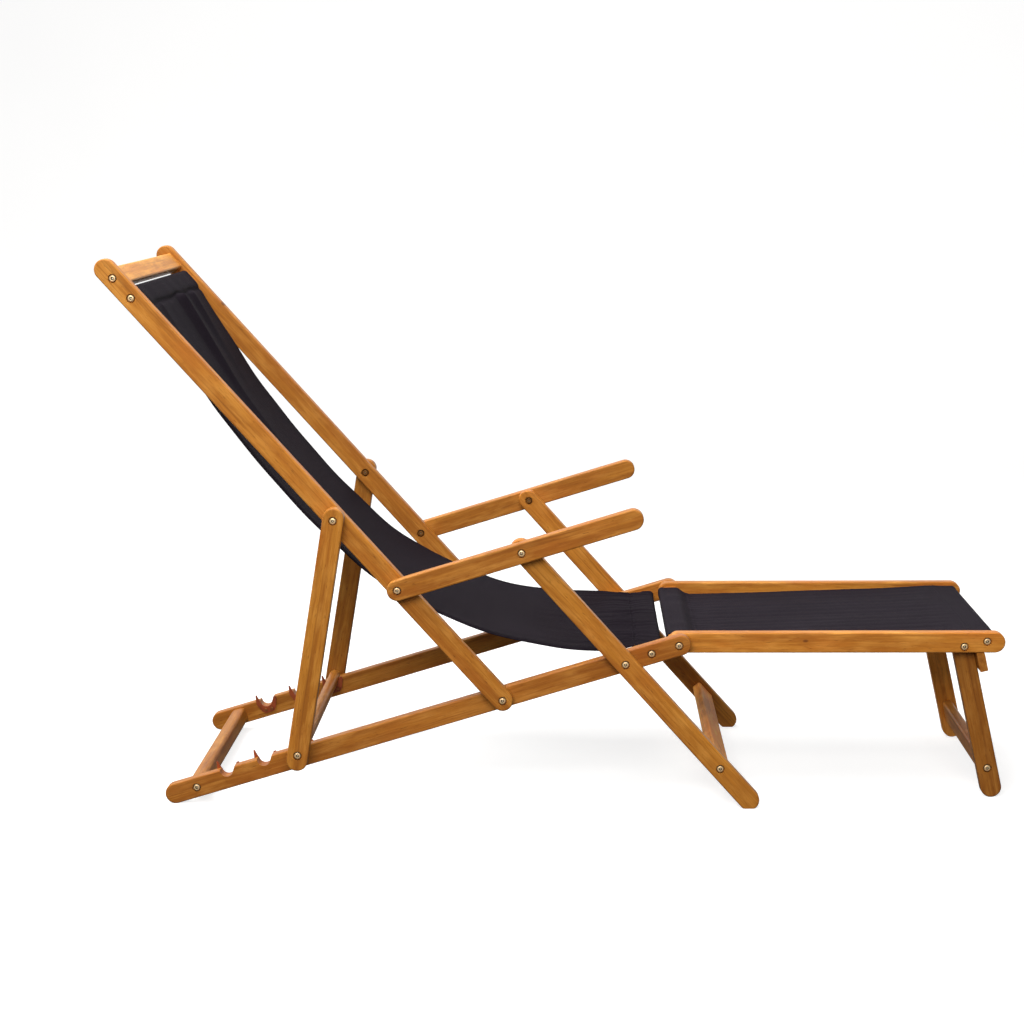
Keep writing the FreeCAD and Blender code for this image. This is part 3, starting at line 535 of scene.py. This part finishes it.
def stitches(name, grid, lines, length=3.4, gap=1.3, r=0.42):
    """Rows of raised lock stitches. lines: functions of t in mm giving (s, y share), with the length of each."""
    verts, faces, uvs = [], [], []
    ring = 6
    for fn, total in lines:
        t = 0.0
        while t + length < total:
            pts = []
            for f in (0.0, 0.18, 0.5, 0.82, 1.0):
                s, y = fn(t + f * length)
                p, n = on_grid(grid, s, y)
                pts.append((p, n, f))
            base = len(verts)
            for k, (p, n, f) in enumerate(pts):
                a, b = pts[max(k - 1, 0)][0], pts[min(k + 1, 4)][0]
                d = b - a
                d = d / (np.linalg.norm(d) + 1e-9)
                w = np.cross(n, d)
                rr = r * (0.45, 0.9, 1.0, 0.9, 0.45)[k]
                lift = (-0.10, 0.16, 0.26, 0.16, -0.10)[k]
                for q in range(ring):
                    ang = 2 * math.pi * q / ring
                    v = p + n * (lift + rr * 0.8 * math.sin(ang)) + w * rr * math.cos(ang)
                    verts.append(v * 1e-3)
                    uvs.append((t * 1e-3 + 0.0008 * q, f * length * 1e-3))
            for k in range(4):
                for q in range(ring):
                    a0, a1 = base + k * ring + q, base + k * ring + (q + 1) % ring
                    faces.append((a0, a1, a1 + ring, a0 + ring))
            faces.append(tuple(base + q for q in range(ring))[::-1])
            faces.append(tuple(base + 4 * ring + q for q in range(ring)))
            t += length + gap
    me_faces = faces
    me = bpy.data.meshes.new(name)
    me.from_pydata([tuple(v) for v in verts], [], me_faces)
    layer = me.uv_layers.new(name="cut")
    for loop in me.loops:
        layer.data[loop.index].uv = uvs[loop.vertex_index]
    me.validate()
    me.shade_smooth()
    obj = bpy.data.objects.new(name, me)
    scene.collection.objects.link(obj)
    return obj


def rounded_loop(c, d, n, pts):
    """Side-plane points given in a slat's own axes, along d and n."""
    return [(c[0] + d[0] * a + n[0] * b, c[1] + d[1] * a + n[1] * b) for a, b in pts]


def arc(cx, cy, r, a0, a1, k=5):
    return [(cx + r * math.cos(math.radians(a)), cy + r * math.sin(math.radians(a))) for a in np.linspace(a0, a1, k)]


WALL, EDGE = 10.95, 19.95             # cloth middle to slat middle, across the flat and at the edge
RC = 6.6                              # bend of the cloth round a slat's edge


def slat_wrap():
    """The cloth from a slat's underside round its front edge to its top, in the slat's axes."""
    return (arc(EDGE - RC, -WALL + RC, RC, -90, 0) + arc(EDGE - RC, WALL - RC, RC, 0, 90))


# --- long sling ----------------------------------------------------------------
TILT = math.radians(5.0)
S2 = (164.755, 292.972)
S2d, S2n = (math.cos(TILT), math.sin(TILT)), (-math.sin(TILT), math.cos(TILT))
BA = math.radians(48.56)
S1 = (-779.771, 962.524)
S1d, S1n = (-math.cos(BA), math.sin(BA)), (math.sin(BA), math.cos(BA))

REAR = arc(-EDGE + RC, -WALL + RC, RC, 190, 270)      # round a slat's lower rear edge
front = rounded_loop(S2, S2d, S2n, [(-36.0, 10.2), (-31.0, 9.8), (-27.0, 8.6), (-23.8, 5.4), (-21.6, 1.0)] + REAR + [(0.0, -WALL - 0.25)])
front += rounded_loop(S2, S2d, S2n, slat_wrap())
front += rounded_loop(S2, S2d, S2n, [(0.0, WALL + 0.2), (-12.0, WALL + 0.1), (-18.5, WALL + 0.2), (-24.0, WALL + 0.3), (-29.0, WALL + 0.6), (-36.0, WALL + 1.1)])
sag = [(104.0, 302.6), (62.0, 302.3), (28.0, 303.0), (-5.0, 305.2), (-39.0, 309.0), (-72.5, 314.2), (-106.0, 321.2), (-140.0, 330.0),
       (-173.0, 341.6), (-206.0, 356.6), (-240.0, 373.3), (-275.0, 390.0), (-310.0, 408.4), (-345.0, 430.5), (-371.0, 451.0), (-409.0, 487.8)]
# down the back: distance below the top slat, distance behind the rails' middle line
sag += rounded_loop(S1, S1d, S1n, [(-560.0, -38.4), (-525.0, -40.6), (-479.0, -42.6), (-425.0, -41.6), (-363.0, -38.4), (-295.0, -33.2),
                                   (-243.0, -28.0), (-160.0, -14.6), (-111.0, -5.6), (-70.0, 2.0)])
top = rounded_loop(S1, S1d, S1n, [(-41.0, 7.4), (-33.0, 8.3), (-28.5, 8.5), (-24.0, 8.9), (-19.0, 10.2), (-12.0, WALL), (0.0, WALL + 0.2)])
top += rounded_loop(S1, S1d, S1n, slat_wrap()[::-1])
top += rounded_loop(S1, S1d, S1n, [(0.0, -WALL - 0.25)] + REAR[::-1] + [(-21.6, 0.8), (-23.8, 4.4), (-28.0, 6.3), (-35.0, 6.4)])

raw = catmull([(x + SHIFT, z) for x, z in front + sag + top], 2.0)


def long_step(s, total):
    e = min(s, total - s)
    return 1.8 if e < 135 else (3.2 if e < 215 else 6.4)


path, s_long = resample(raw, long_step)
lo, hi = int(np.searchsorted(s_long, 205.0)), int(np.searchsorted(s_long, s_long[-1] - 205.0))
path = relax(path, 37, lo, hi)
LTOT = s_long[-1]

# distance run to the two pocket seams, on the visible side


def run_to(p):
    return float(s_long[np.argmin(np.sum((path[: , :] - np.array([p[0] + SHIFT, p[1]])) ** 2, axis=1)
                                  + np.where((s_long < 60) | (s_long > LTOT - 60), 1e6, 0.0))])


SEAM_F = run_to(rounded_loop(S2, S2d, S2n, [(-27.0, WALL + 0.5)])[0])
SEAM_T = run_to(rounded_loop(S1, S1d, S1n, [(-26.5, 8.7)])[0])


def long_half(s):
    t = np.clip((s - SEAM_F) / (SEAM_T - SEAM_F), -0.1, 1.1)
    return 226.0 + 18.0 * np.clip(t, 0, 1)


def on_slat(D, x):
    """Over a slat (x > 0 ... 6 mm) the cloth can bulge out but not sink in."""
    over = smooth01(x / 6.0)
    return D * (1 - over) + over * np.maximum(D, -0.2)


def front_terms(f, Y, S):
    """Seam and puckers of the front pocket; f runs from the seam up the sheet."""
    wob = 1.2 * ripple(Y, 60.0, 3, 11)
    D = -1.5 * np.exp(-((f - wob) / 2.6) ** 2)
    fall = np.where(f > 0, np.exp(-(np.maximum(f, 0) / (62.0 + 24.0 * ripple(Y, 70.0, 3, 5))) ** 2), np.exp(-(f / 46.0) ** 2))
    drift = Y + 6.0 * np.sin(S / 31.0) + 4.0 * np.sin(S / 13.0 + Y / 31.0) + 0.14 * f * np.sin(Y / 60.0)
    puck = ripple(drift, 21.0, 4, 21) + 0.6 * ripple(drift, 37.0, 3, 22) + 0.25 * ripple(drift, 9.0, 3, 24)
    D = D + 2.3 * fall * np.where(puck > 0, puck * 0.75, -np.abs(puck) ** 1.2)
    D = D + 0.8 * np.exp(-(f / 120.0) ** 2) * smooth01(f / 20.0) * ripple(Y, 42.0, 3, 23)
    return on_slat(D, -f - 1.0)


def top_terms(t, Y):
    """Seam of the top pocket and the folds under it; t runs from the seam down the sheet."""
    up = 2.4 * ripple(Y, 170.0, 3, 31) - 7.0 * np.exp(-((Y - 34.0) / 30.0) ** 2)
    deep = 2.4 + 2.2 * np.exp(-((Y + 10.0) / 40.0) ** 2) + 1.6 * np.exp(-((Y - 105.0) / 36.0) ** 2) + 1.0 * np.exp(-((Y + 120.0) / 50.0) ** 2)
    D = -deep * np.exp(-((t - up) / 3.8) ** 2)
    below = np.maximum(t - up, 0.0)
    D = D - 1.4 * smooth01(below / 4.0) * np.exp(-(below / 60.0) ** 2)
    rise = smooth01(below / 12.0)

    def fold(y0, slope, amp, reach, steep, easy):
        """A fold that runs down from the seam, steep on its right and easy on its left."""
        x = Y - y0 - slope * below
        wid = np.where(x < 0, steep, easy) * (1.0 + 0.6 * np.clip(below / reach, 0, 1.5))
        return amp * np.exp(-(np.abs(x) / wid) ** 1.5) * rise * np.exp(-(below / reach) ** 2)
    D = D + fold(33.0, -0.012, 11.5, 320.0, 9.5, 36.0)
    D = D + fold(143.0, -0.06, 6.0, 150.0, 8.5, 26.0)
    D = D + fold(-152.0, 0.07, 2.8, 100.0, 8.0, 24.0)
    D = D + fold(-70.0, 0.03, 1.2, 120.0, 12.0, 24.0)
    D = D - fold(6.0, 0.0, 2.6, 200.0, 24.0, 10.0)
    D = D - fold(116.0, -0.05, 2.2, 150.0, 20.0, 10.0)
    return on_slat(D, -t - 5.0)


def long_disp(S, Y, H):
    v = Y / H
    f = S - SEAM_F
    t = SEAM_T - S
    D = np.zeros_like(S)
    # free sheet: the hems are a little tighter than the middle, and roll down at their very edge
    free = smooth01(f / 120.0) * smooth01(t / 160.0)
    D += free * 3.2 * (np.abs(v) ** 3 - 1.0)
    D -= 2.4 * smooth01(f / 40.0) * smooth01(t / 60.0) * np.exp(-((H - np.abs(Y)) / 4.5) ** 2)
    # the seat hangs a little lower on the right
    D += 5.5 * v * smooth01(f / 60.0) * np.exp(-((f - 100.0) / 90.0) ** 2)
    D -= 3.0 * np.exp(-((f - 48.0) / 36.0) ** 2) * smooth01((-v - 0.55) / 0.45) * smooth01(f / 24.0)
    D += front_terms(f, Y, S) + top_terms(t, Y)
    # the sewn-down ends follow the sheet they are stitched to
    e0 = smooth01((17.0 - S) / 7.0)
    D -= e0 * front_terms(9.0 - S, Y, SEAM_F + 9.0 - S)
    e1 = smooth01((16.0 - (LTOT - S)) / 7.0)
    D -= e1 * top_terms(8.5 - (LTOT - S), Y)
    # pocket face: soft pillow between the seam and the slat's edge
    face = smooth01((t + 42.0) / 14.0) * smooth01((-t + 2.0) / 10.0)
    D += face * (0.6 * ripple(Y, 95.0, 3, 41))
    # slow unevenness of hung canvas
    D += free * (1.0 * ripple(Y, 150.0, 2, 51) * np.sin(S / 190.0 + 0.6) + 0.7 * ripple(S, 210.0, 3, 52))
    return D


def long_side(S, Y, H):
    e = np.abs(Y / H) ** 6 * np.sign(Y)
    return e * (0.8 * ripple(S, 130.0, 3, 61 ) - 0.8)


sling, gl = shell("sling_long", path, s_long, long_half, long_disp, side=long_side)
sling.data.materials.append(CANVAS)
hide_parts("sling_seat", "sling_back")


def seam_line(grid, s0, inset, wob=None):
    half = float(np.interp(s0, grid["s"], grid["half"]))
    total = 2 * half - 2 * inset

    def fn(t):
        y = -half + inset + t
        return (s0 + (wob(y) if wob else 0.0), y / half)
    return fn, total


def hem_line(grid, s0, s1, sign, inset):
    def fn(t):
        s = s0 + t
        half = float(np.interp(s, grid["s"], grid["half"]))
        return s, sign * (half - inset) / half
    return fn, s1 - s0


def top_wob(y):
    y = np.array([y])
    return -float((2.4 * ripple(y, 170.0, 3, 31) - 7.0 * np.exp(-((y - 34.0) / 30.0) ** 2))[0])


def front_wob(y):
    return float(1.2 * ripple(np.array([y]), 60.0, 3, 11)[0])


thread_long = stitches("sling_long_stitching", gl, [
    hem_line(gl, SEAM_F + 4, SEAM_T - 4, 1, 10.6), hem_line(gl, SEAM_F + 4, SEAM_T - 4, -1, 10.6)])
thread_front = stitches("sling_front_seam", gl, [
    seam_line(gl, SEAM_F, 4.0, front_wob), seam_line(gl, SEAM_F + 5.0, 4.0, front_wob)])
thread_top = stitches("sling_top_seam", gl, [
    seam_line(gl, SEAM_T, 4.0, top_wob), seam_line(gl, SEAM_T - 5.0, 4.0, top_wob)])
for o in (thread_long, thread_front, thread_top):
    o.data.materials.append(THREAD)

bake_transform(sling)
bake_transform(thread_long)
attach(thread_front, "seat_frame")
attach(thread_top, "back_frame")

# --- footrest sling ------------------------------------------------------------
HC, HD, HN = (215.868, 308.433), (1.0, 0.0), (0.0, 1.0)
FC = (790.8, 310.433)


def mirror(pts):
    return [(-a, b) for a, b in pts]


hinge = rounded_loop(HC, HD, HN, [(46.0, -6.3), (41.0, -6.3), (36.0, -7.0), (30.0, -8.3), (22.0, -10.1), (13.0, -10.95), (0.0, -WALL - 0.2)])
hinge += rounded_loop(HC, HD, HN, mirror(slat_wrap()))
hinge += rounded_loop(HC, HD, HN, [(0.0, WALL + 0.7), (10.0, WALL + 0.9), (18.0, WALL), (24.5, 7.4), (30.0, 2.2), (35.0, -1.8), (40.0, -3.6), (48.0, -3.7)])
run = [(HC[0] + a, HC[1] + b) for a, b in ((76.0, -2.7), (110.0, -1.6), (185.0, 0.6), (265.0, 2.8), (345.0, 5.0), (440.0, 7.8), (492.0, 10.6), (518.0, 12.4))]
end = rounded_loop(FC, HD, HN, [(-42.0, 11.5), (-36.0, 11.4), (-30.0, 11.2), (-24.0, 11.2), (-13.0, WALL + 0.6), (0.0, WALL + 0.5)])
end += rounded_loop(FC, HD, HN, slat_wrap()[::-1])
end += rounded_loop(FC, HD, HN, [(0.0, -WALL - 0.2)] + REAR[::-1] + [(-21.4, 1.6), (-23.0, 5.6), (-26.0, 8.5), (-31.0, 9.3)])
raw_f = catmull([(x + SHIFT, z) for x, z in hinge + run + end], 2.0)


def foot_step(s, total):
    e = min(s, total - s)
    return 1.5 if e < 150 else 4.0


path_f, s_foot = resample(raw_f, foot_step)
FTOT = s_foot[-1]


def run_f(p):
    return float(s_foot[np.argmin(np.sum((path_f - np.array([p[0] + SHIFT, p[1]])) ** 2, axis=1)
                                  + np.where((s_foot < 50) | (s_foot > FTOT - 50), 1e6, 0.0))])


SEAM_H = run_f((HC[0] + 39.5, HC[1] - 3.5))
SEAM_E = run_f((FC[0] - 27.0, FC[1] + 11.2))


def foot_half(s):
    return np.full_like(np.asarray(s, float), 199.4)


def foot_disp(S, Y, H):
    v = Y / H
    a = S - SEAM_H
    b = SEAM_E - S
    D = np.zeros_like(S)
    free = smooth01(a / 60.0) * smooth01(b / 60.0)
    # lengthwise wrinkles, strongest near the hinge pocket
    drift = Y + 5.0 * np.sin(S / 120.0)
    env = free * (0.55 + 0.75 * np.exp(-np.maximum(a, 0) / 150.0))
    w = ripple(drift, 34.0, 3, 71) + 0.5 * ripple(drift, 15.0, 3, 72)
    D += 0.80 * env * np.where(w > 0, w, 0.6 * w)
    D += free * (1.0 * ripple(Y, 120.0, 2, 73) - 1.0 * (1 - v * v))
    # puckers at the two seams
    wob = 0.9 * ripple(Y, 50.0, 3, 74)
    pk = ripple(Y, 13.0, 4, 75)
    D -= 1.0 * np.exp(-((a - wob) / 3.0) ** 2)
    D += 0.75 * pk * np.where(a > 0, np.exp(-(a / 34.0) ** 2), np.exp(-(a / 22.0) ** 2))
    D -= 0.6 * np.exp(-((b - wob) / 2.2) ** 2)
    D += 0.25 * ripple(Y, 14.0, 4, 76) * np.where(b > 0, np.exp(-(b / 30.0) ** 2), np.exp(-(b / 22.0) ** 2))
    # the pockets are soft rolls
    D += 1.6 * smooth01((-a - 6.0) / 12.0) * smooth01((a + 60.0) / 12.0) * (0.8 + np.clip(0.35 * ripple(Y, 80.0, 3, 77), -0.5, 0.6))
    D += 0.8 * smooth01((-b - 4.0) / 10.0) * smooth01((b + 40.0) / 12.0) * (0.8 + np.clip(0.35 * ripple(Y, 90.0, 3, 78), -0.5, 0.6))
    return D


def foot_side(S, Y, H):
    e = np.abs(Y / H) ** 6 * np.sign(Y)
    mid = smooth01((S - SEAM_H) / 120.0) * smooth01((SEAM_E - S) / 120.0)
    return e * (-1.6 * mid + 0.5 * ripple(S, 110.0, 3, 81) - 0.4)


foot, gf = shell("sling_footrest", path_f, s_foot, foot_half, foot_disp, side=foot_side)
foot.data.materials.append(CANVAS_FOOT_LIT)
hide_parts("footrest_sling")
thread_foot = stitches("sling_footrest_stitching", gf, [
    hem_line(gf, SEAM_H + 4, SEAM_E - 4, 1, 10.6), hem_line(gf, SEAM_H + 4, SEAM_E - 4, -1, 10.6),
    seam_line(gf, SEAM_H, 4.0), seam_line(gf, SEAM_H + 5.0, 4.0),
    seam_line(gf, SEAM_E, 4.0), seam_line(gf, SEAM_E - 5.0, 4.0)])
thread_foot.data.materials.append(THREAD)
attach(foot, "footrest")
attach(thread_foot, "footrest")

# ---------------------------------------------------------------------------
# floor, light, camera
# ---------------------------------------------------------------------------
FLOOR_Z = -0.0006


def paper():
    T = Tree("paper_white")
    tc = T.new("ShaderNodeTexCoord")
    n = T.noise(tc.outputs["Object"], 3.0, 2.0)
    T.link(T.mix(T.ramp(n, [(0.3, 0.0), (0.7, 1.0)]), (0.50, 0.50, 0.50), (0.515, 0.515, 0.515)), T.bsdf.inputs["Base Color"])
    T.bsdf.inputs["Roughness"].default_value = 0.9
    T.bsdf.inputs["Specular IOR Level"].default_value = 0.0
    T.bsdf.inputs["Emission Color"].default_value = (1.0, 1.0, 1.0, 1.0)
    T.bsdf.inputs["Emission Strength"].default_value = 0.76
    return T.mat


def backdrop(name, prof, mat, glossy):
    """A strip of white studio paper along X through the points prof (y, z)."""
    verts, faces = [], []
    for y, z in prof:
        verts += [(-9.0, y, z + FLOOR_Z), (9.0, y, z + FLOOR_Z)]
    for i in range(len(prof) - 1):
        faces.append((2 * i, 2 * i + 1, 2 * i + 3, 2 * i + 2))
    me = bpy.data.meshes.new(name)
    me.from_pydata(verts, [], faces)
    me.shade_smooth()
    o = bpy.data.objects.new(name, me)
    scene.collection.objects.link(o)
    me.materials.append(mat)
    o.visible_diffuse = False
    o.visible_glossy = glossy
    return o


PAPER = paper()
SWEEP = [(3.6 + 1.6 * math.sin(a), 1.6 - 1.6 * math.cos(a)) for a in np.linspace(0, math.pi / 2, 14)]
floor = backdrop("floor", [(-9.0, 0.0), (1.4, 0.0)], PAPER, False)
wall = backdrop("backdrop", [(1.4, 0.0)] + SWEEP + [(5.2, 7.0)], PAPER, True)


def surround(name, radius, height, mat):
    """Pale studio wall all round, out of the lights' way."""
    n = 64
    ring = [(radius * math.cos(2 * math.pi * i / n), radius * math.sin(2 * math.pi * i / n)) for i in range(n)]
    verts = [(x, y, FLOOR_Z) for x, y in ring] + [(x, y, height) for x, y in ring]
    faces = [(i, (i + 1) % n, n + (i + 1) % n, n + i) for i in range(n)]
    me = bpy.data.meshes.new(name)
    me.from_pydata(verts, [], faces)
    me.shade_smooth()
    o = bpy.data.objects.new(name, me)
    scene.collection.objects.link(o)
    me.materials.append(mat)
    o.visible_diffuse = False
    o.visible_glossy = False
    o.visible_shadow = False
    return o


surround("studio_wall", 8.6, 9.0, PAPER)

world = bpy.data.worlds.new("studio")
scene.world = world
world.use_nodes = True
wt = world.node_tree
wt.nodes.clear()
wo = wt.nodes.new("ShaderNodeOutputWorld")
bg = wt.nodes.new("ShaderNodeBackground")
wt.links.new(bg.outputs[0], wo.inputs[0])
bg.inputs["Color"].default_value = (1.0, 0.995, 0.985, 1.0)
bg.inputs["Strength"].default_value = 0.15


def softbox(name, loc, target, size, power, color=(1, 1, 1)):
    li = bpy.data.lights.new(name, "AREA")
    li.shape = "RECTANGLE"
    li.size, li.size_y = size
    li.energy = power
    li.color = color
    o = bpy.data.objects.new(name, li)
    o.location = loc
    o.rotation_euler = (Vector(target) - Vector(loc)).to_track_quat("-Z", "Y").to_euler()
    scene.collection.objects.link(o)
    return o


softbox("top_box", (-1.1, -0.2, 3.2), (-0.1, 0.0, 0.4), (3.4, 2.8), 180.0, (1.0, 0.985, 0.96))
softbox("rear_fill", (-3.6, 0.8, 1.9), (-0.3, 0.0, 0.5), (2.4, 2.0), 16.0, (1.0, 0.99, 0.98))
softbox("front_box", (-0.3, -3.7, 2.6), (0.05, 0.0, 0.45), (2.8, 2.0), 130.0, (1.0, 0.98, 0.95))

cam_d = bpy.data.cameras.new("camera")
cam_d.sensor_width = 36.0
cam_d.sensor_fit = "HORIZONTAL"
cam_d.lens = 1940.0 / 1024.0 * 36.0
cam_d.clip_start, cam_d.clip_end = 0.05, 60.0
cam = bpy.data.objects.new("camera", cam_d)
r2 = Vector((0.99941870, 0.03288603, -0.00898688))
u2 = Vector((0.00290963, 0.18036573, 0.98359531))
fw = Vector((-0.03396747, 0.98304970, -0.18016519))
loc = Vector((0.03424, -3.77295, 1.20878))
cam.matrix_world = Matrix(((r2.x, u2.x, -fw.x, loc.x), (r2.y, u2.y, -fw.y, loc.y), (r2.z, u2.z, -fw.z, loc.z), (0, 0, 0, 1)))
scene.collection.objects.link(cam)
scene.camera = cam

scene.view_settings.view_transform = "Standard"
scene.view_settings.look = "None"
scene.view_settings.exposure = 0.0
